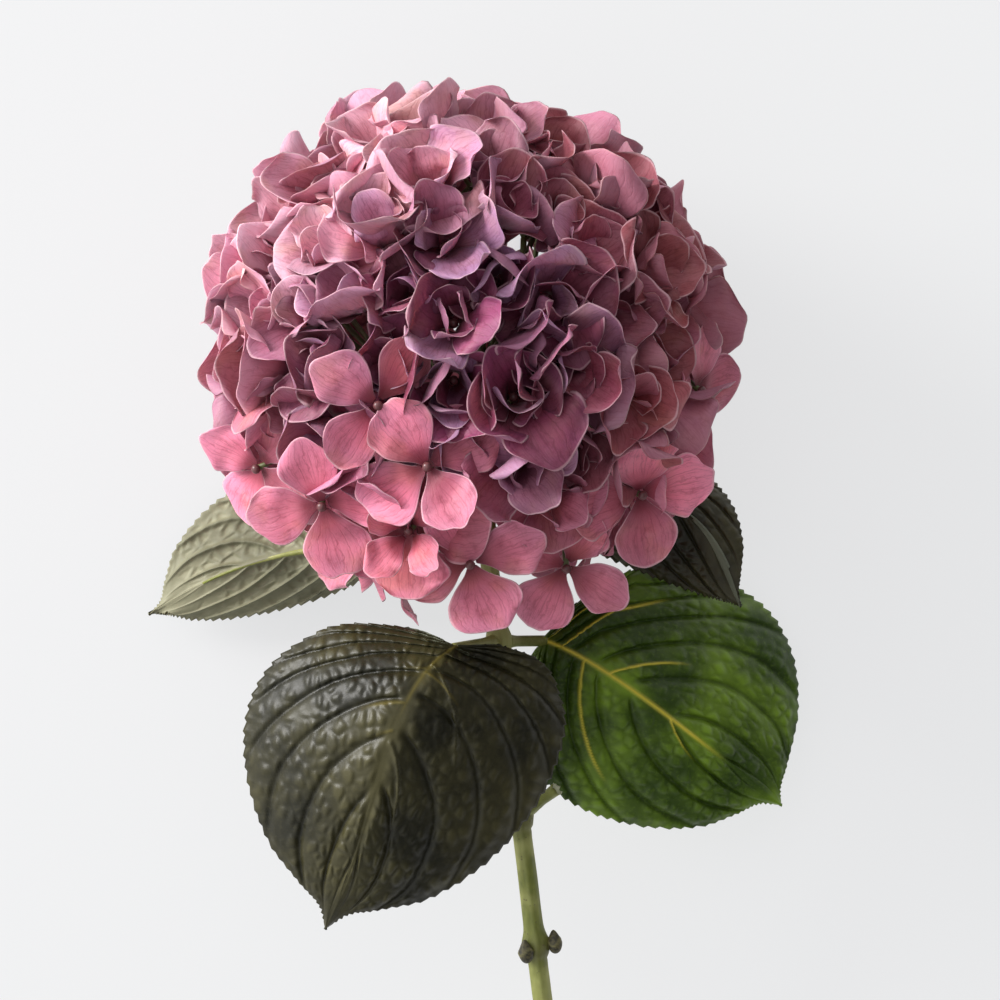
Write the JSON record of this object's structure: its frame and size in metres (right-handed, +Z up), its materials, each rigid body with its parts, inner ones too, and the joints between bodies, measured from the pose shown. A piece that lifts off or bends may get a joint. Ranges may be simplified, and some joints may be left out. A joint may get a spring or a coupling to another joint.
{
  "type": "cut hydrangea",
  "caption": "Cut hydrangea lying on its side: a ball-shaped head of rose, plum and burgundy florets on a green stem with opposite quilted leaves.",
  "frame": {"origin": "centre of the bounding box on the surface the flower lies on", "axes": "+Y from the cut end of the stem towards the flower head, +Z up from the surface, +X to the right seen from above with the head at the top"},
  "size_m": [0.2094, 0.401, 0.1537],
  "materials": {
    "sepal": "soft matte sepal, rose to plum and burgundy with fine darker veins and a paler rim",
    "stem": "satin green stem with corky specks",
    "branch": "satin pale green flower stalks",
    "leaf_dark": "satin, dark grey-green, quilted between the veins",
    "leaf_green": "satin, fresh green with raised yellow-green veins",
    "leaf_pale": "matte, pale grey-green underside with a raised net of veins",
    "bud": "matte dark bud scales"
  },
  "bodies": {
    "root": {"cyme_01": "sepal", "cyme_02": "sepal", "cyme_03": "sepal", "cyme_04": "sepal", "cyme_05": "sepal", "cyme_06": "sepal", "cyme_07": "sepal", "cyme_08": "sepal", "cyme_09": "sepal", "cyme_10": "sepal", "cyme_11": "sepal", "cyme_12": "sepal", "cyme_13": "sepal", "cyme_14": "sepal", "cyme_15": "sepal", "cyme_16": "sepal", "cyme_17": "sepal", "cyme_18": "sepal", "cyme_19": "sepal", "cyme_20": "sepal", "cyme_21": "sepal", "cyme_22": "sepal", "cyme_23": "sepal", "cyme_24": "sepal", "cyme_25": "sepal", "cyme_26": "sepal", "cyme_27": "sepal", "cyme_28": "sepal", "cyme_29": "sepal", "cyme_30": "sepal", "cyme_31": "sepal", "cyme_32": "sepal", "cyme_33": "sepal", "cyme_34": "sepal", "cyme_35": "sepal", "cyme_36": "sepal", "cyme_37": "sepal", "cyme_38": "sepal", "cyme_39": "sepal", "cyme_40": "sepal", "cyme_41": "sepal", "cyme_42": "sepal", "cyme_43": "sepal", "cyme_44": "sepal", "cyme_45": "sepal", "cyme_46": "sepal", "stem": "stem", "petiole_stub": "stem", "branches": "branch", "leaf_front": "leaf_dark", "leaf_upper_right": "leaf_dark", "leaf_side": "leaf_green", "leaf_upper_left": "leaf_pale", "bud_right": "bud", "bud_front": "bud"}
  },
  "joints": []
}
